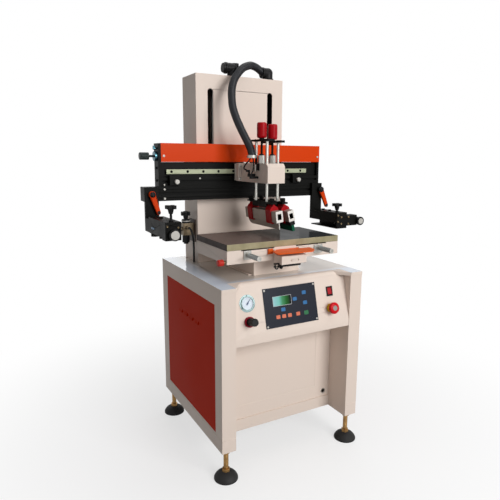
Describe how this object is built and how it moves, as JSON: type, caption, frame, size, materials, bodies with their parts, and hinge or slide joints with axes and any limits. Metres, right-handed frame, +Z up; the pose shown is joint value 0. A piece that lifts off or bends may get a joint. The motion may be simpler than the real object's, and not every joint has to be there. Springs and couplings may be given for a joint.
{
  "type": "flatbed_screen_printer",
  "caption": "Free-standing flatbed screen printing press: cabinet with sloped console, rear tower, rising head with traversing flood and squeegee units, cross-slide table and screen frame arms",
  "frame": {"origin": "on the floor at the centre of the four levelling pads", "axes": "+X to the operator's right along the carriage stroke, +Y from the operator towards the tower, +Z up"},
  "size_m": [0.8204, 0.5849, 1.3939],
  "materials": {
    "cream_powder": "fine powder coat",
    "carriage_white": "powder coat",
    "side_red": "satin powder coat",
    "cover_orange": "gloss enamel",
    "rubber_black": "matte",
    "hose_black": "corrugated nylon",
    "anodised_black": "satin black",
    "knob_black": "moulded",
    "bright_steel": "ground",
    "unit_frames": "bright rods with blackened plates",
    "alloy": "anodised",
    "brass_body": "satin",
    "cap_red": "anodised red",
    "estop_red": "moulded",
    "blade_steel": "thin sheet",
    "blade_green": "cast urethane",
    "table_dark": "ground and darkened",
    "overlay": "printed film",
    "gauge_black": "moulded"
  },
  "bodies": {
    "machine": {"cabinet_frame": "cream_powder", "cabinet_top": "cream_powder", "console_panel": "cream_powder", "recess_panel": "cream_powder", "side_panels": "side_red", "rear_covers": "cream_powder", "levelling_feet": "rubber_black", "tower_shell": "cream_powder", "lift_guides": "bright_steel", "conduit_elbows": "hose_black", "conduit_hose": "hose_black", "air_unit": "brass_body", "air_hose": "hose_black", "pressure_gauge": "gauge_black", "control_plate": "overlay", "panel_bezels": "gauge_black", "table_pedestal": "cream_powder"},
    "needle": {"gauge_needle": "estop_red"},
    "regulator": {"regulator_knob": "knob_black"},
    "switch": {"power_rocker": "knob_black"},
    "estop": {"estop_button": "estop_red"},
    "air_knob": {"air_unit_knob": "knob_black"},
    "cross_slide": {"table_box": "cream_powder", "table_bracket": "cream_powder"},
    "side_screw": {"side_knob": "cap_red"},
    "table": {"table_plate": "table_dark"},
    "table_screw_left": {"adjuster_left": "bright_steel"},
    "table_screw_right": {"adjuster_right": "bright_steel"},
    "table_flap": {"table_lever": "cover_orange"},
    "head": {"head_frame": "anodised_black", "head_beam": "anodised_black", "top_cover": "cover_orange", "guide_rail": "bright_steel", "lift_bracket": "anodised_black", "stroke_cylinder": "alloy"},
    "speed": {"speed_knob": "knob_black"},
    "left_stop": {"stop_left": "anodised_black"},
    "right_stop": {"stop_right": "anodised_black"},
    "carriage": {"carriage_plate": "carriage_white", "carriage_block": "cream_powder", "unit_cylinders": "alloy", "hose_clamp": "hose_black"},
    "flood_unit": {"flood_frame": "unit_frames"},
    "flood_adjust": {"flood_cap": "cap_red"},
    "flood_tool": {"flood_clamps": "cap_red", "flood_holder": "alloy", "flood_blade": "blade_steel"},
    "squeegee_unit": {"squeegee_frame": "unit_frames"},
    "squeegee_adjust": {"squeegee_cap": "cap_red"},
    "squeegee_tool": {"squeegee_clamps": "cap_red", "squeegee_holder": "alloy", "squeegee_blade": "blade_green"},
    "left_arm": {"arm_left": "anodised_black"},
    "right_arm": {"arm_right": "anodised_black"},
    "left_lever": {"lever_left": "cover_orange"},
    "right_lever": {"lever_right": "cover_orange"},
    "left_clamp": {"clamp_screw_left": "knob_black"},
    "right_clamp": {"clamp_screw_right": "knob_black"},
    "left_fine": {"fine_knob_left": "alloy"},
    "right_fine": {"fine_knob_right": "alloy"}
  },
  "joints": [
    {"name": "needle_turn", "type": "hinge", "parent": "machine", "child": "needle", "pos_m": [-0.172, -0.24575, 0.58812], "axis": [0, -0.9692, 0.2463], "range_deg": [-100, 170]},
    {"name": "regulator_turn", "type": "hinge", "parent": "machine", "child": "regulator", "pos_m": [-0.172, -0.27589, 0.5349], "axis": [0, -0.9692, 0.2463], "range_deg": [-720, 720]},
    {"name": "switch_rock", "type": "hinge", "parent": "machine", "child": "switch", "pos_m": [0.1535, -0.2375, 0.58447], "axis": [1, 0, 0], "range_deg": [0, 16]},
    {"name": "estop_press", "type": "slide", "parent": "machine", "child": "estop", "axis": [0, -0.9692, 0.2463], "range_m": [-0.0045, 0], "stiffness_N_per_m": 2500},
    {"name": "air_knob_turn", "type": "hinge", "parent": "machine", "child": "air_knob", "pos_m": [-0.2105, 0.176, 0.82], "axis": [0, 0, 1], "range_deg": [-720, 720]},
    {"name": "table_cross", "type": "slide", "parent": "machine", "child": "cross_slide", "axis": [1, 0, 0], "range_m": [-0.01, 0.01]},
    {"name": "side_screw_turn", "type": "hinge", "parent": "cross_slide", "child": "side_screw", "pos_m": [-0.24, -0.185, 0.7135], "axis": [1, 0, 0], "range_deg": [-360, 360]},
    {"name": "table_in_out", "type": "slide", "parent": "cross_slide", "child": "table", "axis": [0, 1, 0], "range_m": [-0.0075, 0.0075]},
    {"name": "table_screw_left_turn", "type": "hinge", "parent": "cross_slide", "child": "table_screw_left", "pos_m": [-0.146, -0.23, 0.7335], "axis": [0, 1, 0], "range_deg": [-2170, 2170]},
    {"name": "table_screw_right_turn", "type": "hinge", "parent": "cross_slide", "child": "table_screw_right", "pos_m": [0.137, -0.23, 0.7335], "axis": [0, 1, 0], "range_deg": [-2170, 2170]},
    {"name": "flap_lift", "type": "hinge", "parent": "cross_slide", "child": "table_flap", "pos_m": [0, -0.202, 0.7398], "axis": [-1, 0, 0], "range_deg": [0, 75]},
    {"name": "head_lift", "type": "slide", "parent": "machine", "child": "head", "axis": [0, 0, 1], "range_m": [0, 0.185], "deforming": ["conduit_hose"]},
    {"name": "speed_turn", "type": "hinge", "parent": "head", "child": "speed", "pos_m": [-0.38, 0.1, 1.045], "axis": [1, 0, 0], "range_deg": [-720, 720]},
    {"name": "left_stop_set", "type": "slide", "parent": "head", "child": "left_stop", "axis": [1, 0, 0], "range_m": [-0.02, 0.12]},
    {"name": "right_stop_set", "type": "slide", "parent": "head", "child": "right_stop", "axis": [1, 0, 0], "range_m": [-0.12, 0.02]},
    {"name": "carriage_stroke", "type": "slide", "parent": "head", "child": "carriage", "axis": [1, 0, 0], "range_m": [-0.185, 0.135], "deforming": ["conduit_hose"]},
    {"name": "flood_lift", "type": "slide", "parent": "carriage", "child": "flood_unit", "axis": [0, 0, 1], "range_m": [-0.018, 0]},
    {"name": "flood_cap_turn", "type": "hinge", "parent": "flood_unit", "child": "flood_adjust", "pos_m": [-0.02, -0.064, 1.13], "axis": [0, 0, 1], "range_deg": [-720, 720]},
    {"name": "flood_tilt", "type": "hinge", "parent": "flood_unit", "child": "flood_tool", "pos_m": [-0.02, -0.064, 0.88], "axis": [0, 1, 0], "range_deg": [-10, 10]},
    {"name": "squeegee_lift", "type": "slide", "parent": "carriage", "child": "squeegee_unit", "axis": [0, 0, 1], "range_m": [-0.018, 0]},
    {"name": "squeegee_cap_turn", "type": "hinge", "parent": "squeegee_unit", "child": "squeegee_adjust", "pos_m": [0.023, -0.064, 1.13], "axis": [0, 0, 1], "range_deg": [-720, 720]},
    {"name": "squeegee_tilt", "type": "hinge", "parent": "squeegee_unit", "child": "squeegee_tool", "pos_m": [0.023, -0.064, 0.88], "axis": [0, 1, 0], "range_deg": [-10, 10]},
    {"name": "left_arm_set", "type": "slide", "parent": "head", "child": "left_arm", "axis": [1, 0, 0], "range_m": [0, 0.12]},
    {"name": "right_arm_set", "type": "slide", "parent": "head", "child": "right_arm", "axis": [1, 0, 0], "range_m": [-0.12, 0]},
    {"name": "left_lever_turn", "type": "hinge", "parent": "left_arm", "child": "left_lever", "pos_m": [-0.375, 0.06, 0.917], "axis": [0, 1, 0], "range_deg": [-60, 40]},
    {"name": "right_lever_turn", "type": "hinge", "parent": "right_arm", "child": "right_lever", "pos_m": [0.33, 0.06, 0.917], "axis": [0, 1, 0], "range_deg": [-60, 40]},
    {"name": "left_clamp_turn", "type": "hinge", "parent": "left_arm", "child": "left_clamp", "pos_m": [-0.371, -0.112, 0.89], "axis": [0, 0, 1], "range_deg": [-720, 720]},
    {"name": "right_clamp_turn", "type": "hinge", "parent": "right_arm", "child": "right_clamp", "pos_m": [0.314, -0.07, 0.865], "axis": [0, 0, 1], "range_deg": [-720, 720]},
    {"name": "left_fine_turn", "type": "hinge", "parent": "left_arm", "child": "left_fine", "pos_m": [-0.371, -0.145, 0.806], "axis": [0, 1, 0], "range_deg": [-720, 720]},
    {"name": "right_fine_turn", "type": "hinge", "parent": "right_arm", "child": "right_fine", "pos_m": [0.402, -0.105, 0.802], "axis": [0, 1, 0], "range_deg": [-720, 720]}
  ],
  "couplings": [
    {"joint": "table_screw_left_turn", "follows": "table_in_out", "rad_per_m": 5026.5},
    {"joint": "table_screw_right_turn", "follows": "table_in_out", "rad_per_m": 5026.5}
  ]
}
